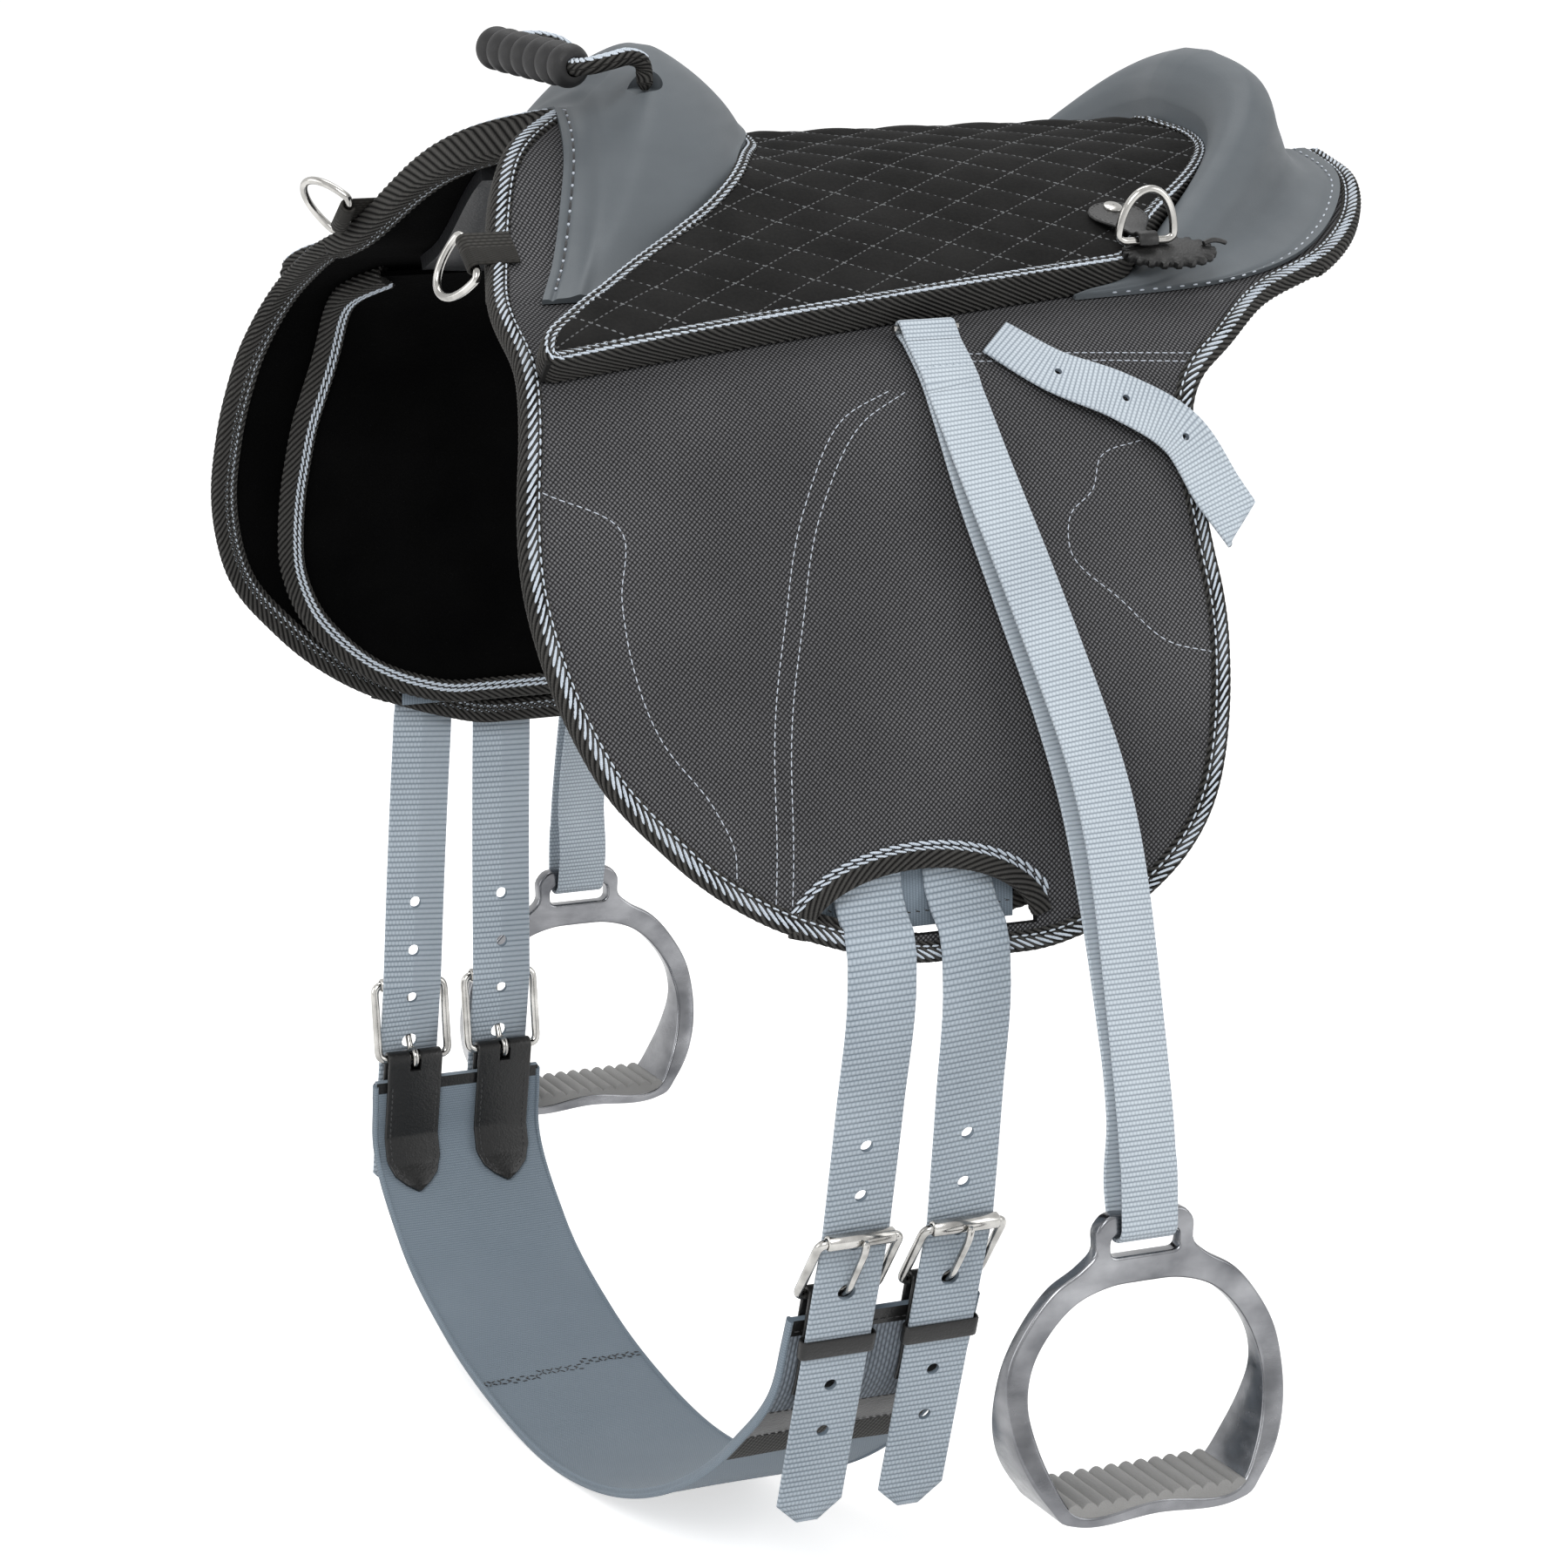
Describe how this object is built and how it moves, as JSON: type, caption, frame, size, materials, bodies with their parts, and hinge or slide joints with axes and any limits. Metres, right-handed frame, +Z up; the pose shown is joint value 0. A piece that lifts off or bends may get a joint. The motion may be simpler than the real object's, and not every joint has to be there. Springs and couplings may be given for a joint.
{
  "type": "bareback pad",
  "caption": "Pony bareback pad with quilted seat, moulded pommel and cantle, grab handle, buckled girth and stirrups.",
  "frame": {"origin": "middle of the pad's underside over the pony's spine, where the pad rests on its back", "axes": "+X towards the pony's head, +Y to its near (left) side, +Z up"},
  "size_m": [0.4716, 0.6456, 0.6594],
  "materials": {
    "canvas": "black twill canvas",
    "velvet": "black velvet lining",
    "leather": "black stitched leather",
    "suede": "black quilted suede cloth",
    "foam": "soft foam",
    "moulding": "grey-blue smooth moulding",
    "plastic": "black ribbed",
    "rope": "light and black twisted",
    "webbing": "black ribbed webbing",
    "strap_webbing": "light blue-grey ribbed webbing",
    "girth": "grey ribbed webbing",
    "steel": "plated steel",
    "iron_metal": "satin cast metal"
  },
  "bodies": {
    "pad": {"pad_bridge": "canvas", "flap_left": "canvas", "flap_right": "canvas", "sweat_panel_left": "velvet", "sweat_panel_right": "velvet", "bolster_left": "leather", "bolster_right": "leather", "seat_cover": "suede", "seat_foam": "foam", "pommel": "moulding", "cantle": "moulding", "front_ring_tab_left": "webbing", "front_ring_tab_right": "webbing", "crupper_tab": "webbing", "strap_tail_left": "strap_webbing", "strap_tail_right": "strap_webbing", "rosette_left": "leather", "rosette_right": "leather", "ring_patch_left": "leather", "ring_patch_right": "leather", "rivet_left": "steel", "rivet_right": "steel"},
    "rope": {"handle_rope": "rope"},
    "grip": {"handle_grip": "plastic"},
    "front_ring_near": {"front_ring_left": "steel"},
    "front_ring_off": {"front_ring_right": "steel"},
    "rear_ring_near": {"rear_ring_left": "steel"},
    "rear_ring_off": {"rear_ring_right": "steel"},
    "crupper_ring": {"crupper_ring": "steel"},
    "girth": {"girth_band": "girth", "billet_front_left": "webbing", "billet_rear_left": "webbing", "billet_front_right": "webbing", "billet_rear_right": "webbing", "buckle_frame_front_left": "steel", "buckle_frame_rear_left": "steel", "buckle_frame_front_right": "steel", "buckle_frame_rear_right": "steel", "chape_front_left": "leather", "chape_rear_left": "leather", "chape_front_right": "leather", "chape_rear_right": "leather", "keeper_front_left": "leather", "keeper_rear_left": "leather", "keeper_front_right": "leather", "keeper_rear_right": "leather"},
    "roller_front_near": {"buckle_roller_front_left": "steel"},
    "roller_rear_near": {"buckle_roller_rear_left": "steel"},
    "roller_front_off": {"buckle_roller_front_right": "steel"},
    "roller_rear_off": {"buckle_roller_rear_right": "steel"},
    "tongue_front_near": {"buckle_tongue_front_left": "steel"},
    "tongue_rear_near": {"buckle_tongue_rear_left": "steel"},
    "tongue_front_off": {"buckle_tongue_front_right": "steel"},
    "tongue_rear_off": {"buckle_tongue_rear_right": "steel"},
    "hanger_near": {"strap_hanger_left": "steel"},
    "hanger_off": {"strap_hanger_right": "steel"},
    "strap_near": {"stirrup_strap_left": "strap_webbing"},
    "strap_off": {"stirrup_strap_right": "strap_webbing"},
    "iron_near": {"stirrup_iron_left": "iron_metal"},
    "iron_off": {"stirrup_iron_right": "iron_metal"}
  },
  "joints": [
    {"name": "handle_swing", "type": "hinge", "parent": "pad", "child": "rope", "pos_m": [0.037, 0, 0.05698], "axis": [0, 1, 0], "range_deg": [-40, 4]},
    {"name": "grip_spin", "type": "hinge", "parent": "rope", "child": "grip", "pos_m": [0.0715, 0, 0.06898], "axis": [-0.1337, 0.9896, -0.0535], "continuous": true},
    {"name": "front_ring_near_swing", "type": "hinge", "parent": "pad", "child": "front_ring_near", "pos_m": [0.12974, 0.07885, -0.00316], "axis": [0, 0.7927, -0.6096], "range_deg": [-110, 10]},
    {"name": "front_ring_off_swing", "type": "hinge", "parent": "pad", "child": "front_ring_off", "pos_m": [0.12974, -0.07885, -0.00316], "axis": [0, 0.7927, 0.6096], "range_deg": [-5, 120]},
    {"name": "rear_ring_near_swing", "type": "hinge", "parent": "pad", "child": "rear_ring_near", "pos_m": [-0.152, 0.13072, -0.00516], "axis": [1, 0, 0], "range_deg": [-40, 30]},
    {"name": "rear_ring_off_swing", "type": "hinge", "parent": "pad", "child": "rear_ring_off", "pos_m": [-0.152, -0.13072, -0.00516], "axis": [-1, 0, 0], "range_deg": [-40, 30]},
    {"name": "crupper_ring_swing", "type": "hinge", "parent": "pad", "child": "crupper_ring", "pos_m": [-0.3162, 0, 0.007], "axis": [0, 1, 0], "range_deg": [0, 100]},
    {"name": "girth_swing", "type": "hinge", "parent": "pad", "child": "girth", "pos_m": [0.0065, 0, -0.24643], "axis": [0, 1, 0], "range_deg": [-1.5, 1.5]},
    {"name": "roller_front_near_spin", "type": "hinge", "parent": "girth", "child": "roller_front_near", "pos_m": [0.0215, 0.22444, -0.39153], "axis": [1, 0, 0], "continuous": true},
    {"name": "roller_rear_near_spin", "type": "hinge", "parent": "girth", "child": "roller_rear_near", "pos_m": [-0.0255, 0.22444, -0.39153], "axis": [1, 0, 0], "continuous": true},
    {"name": "roller_front_off_spin", "type": "hinge", "parent": "girth", "child": "roller_front_off", "pos_m": [0.046, -0.2516, -0.40102], "axis": [1, 0, 0], "continuous": true},
    {"name": "roller_rear_off_spin", "type": "hinge", "parent": "girth", "child": "roller_rear_off", "pos_m": [-0.001, -0.2516, -0.40102], "axis": [1, 0, 0], "continuous": true},
    {"name": "tongue_front_near_lift", "type": "hinge", "parent": "girth", "child": "tongue_front_near", "pos_m": [0.0215, 0.20123, -0.42055], "axis": [-1, 0, 0], "range_deg": [0, 3]},
    {"name": "tongue_rear_near_lift", "type": "hinge", "parent": "girth", "child": "tongue_rear_near", "pos_m": [-0.0255, 0.20123, -0.42055], "axis": [-1, 0, 0], "range_deg": [0, 3]},
    {"name": "tongue_front_off_lift", "type": "hinge", "parent": "girth", "child": "tongue_front_off", "pos_m": [0.046, -0.24665, -0.43786], "axis": [1, 0, 0], "range_deg": [0, 3]},
    {"name": "tongue_rear_off_lift", "type": "hinge", "parent": "girth", "child": "tongue_rear_off", "pos_m": [-0.001, -0.24665, -0.43786], "axis": [1, 0, 0], "range_deg": [0, 3]},
    {"name": "stirrup_near_fore_aft", "type": "hinge", "parent": "pad", "child": "hanger_near", "pos_m": [-0.04, 0.15149, -0.03339], "axis": [0, 0.9063, 0.4226], "range_deg": [-20, 20]},
    {"name": "stirrup_off_fore_aft", "type": "hinge", "parent": "pad", "child": "hanger_off", "pos_m": [-0.04, -0.15149, -0.03339], "axis": [0, 0.9063, -0.4226], "range_deg": [-20, 20]},
    {"name": "stirrup_near_outward", "type": "hinge", "parent": "hanger_near", "child": "strap_near", "pos_m": [-0.04, 0.15149, -0.03339], "axis": [1, 0, 0], "range_deg": [0, 50]},
    {"name": "stirrup_off_outward", "type": "hinge", "parent": "hanger_off", "child": "strap_off", "pos_m": [-0.04, -0.15149, -0.03339], "axis": [-1, 0, 0], "range_deg": [0, 50]},
    {"name": "iron_near_swing", "type": "hinge", "parent": "strap_near", "child": "iron_near", "pos_m": [-0.064, 0.30479, -0.37114], "axis": [1, 0, 0], "range_deg": [-20, 25]},
    {"name": "iron_off_swing", "type": "hinge", "parent": "strap_off", "child": "iron_off", "pos_m": [-0.064, -0.30479, -0.37114], "axis": [-1, 0, 0], "range_deg": [-5, 25]}
  ]
}
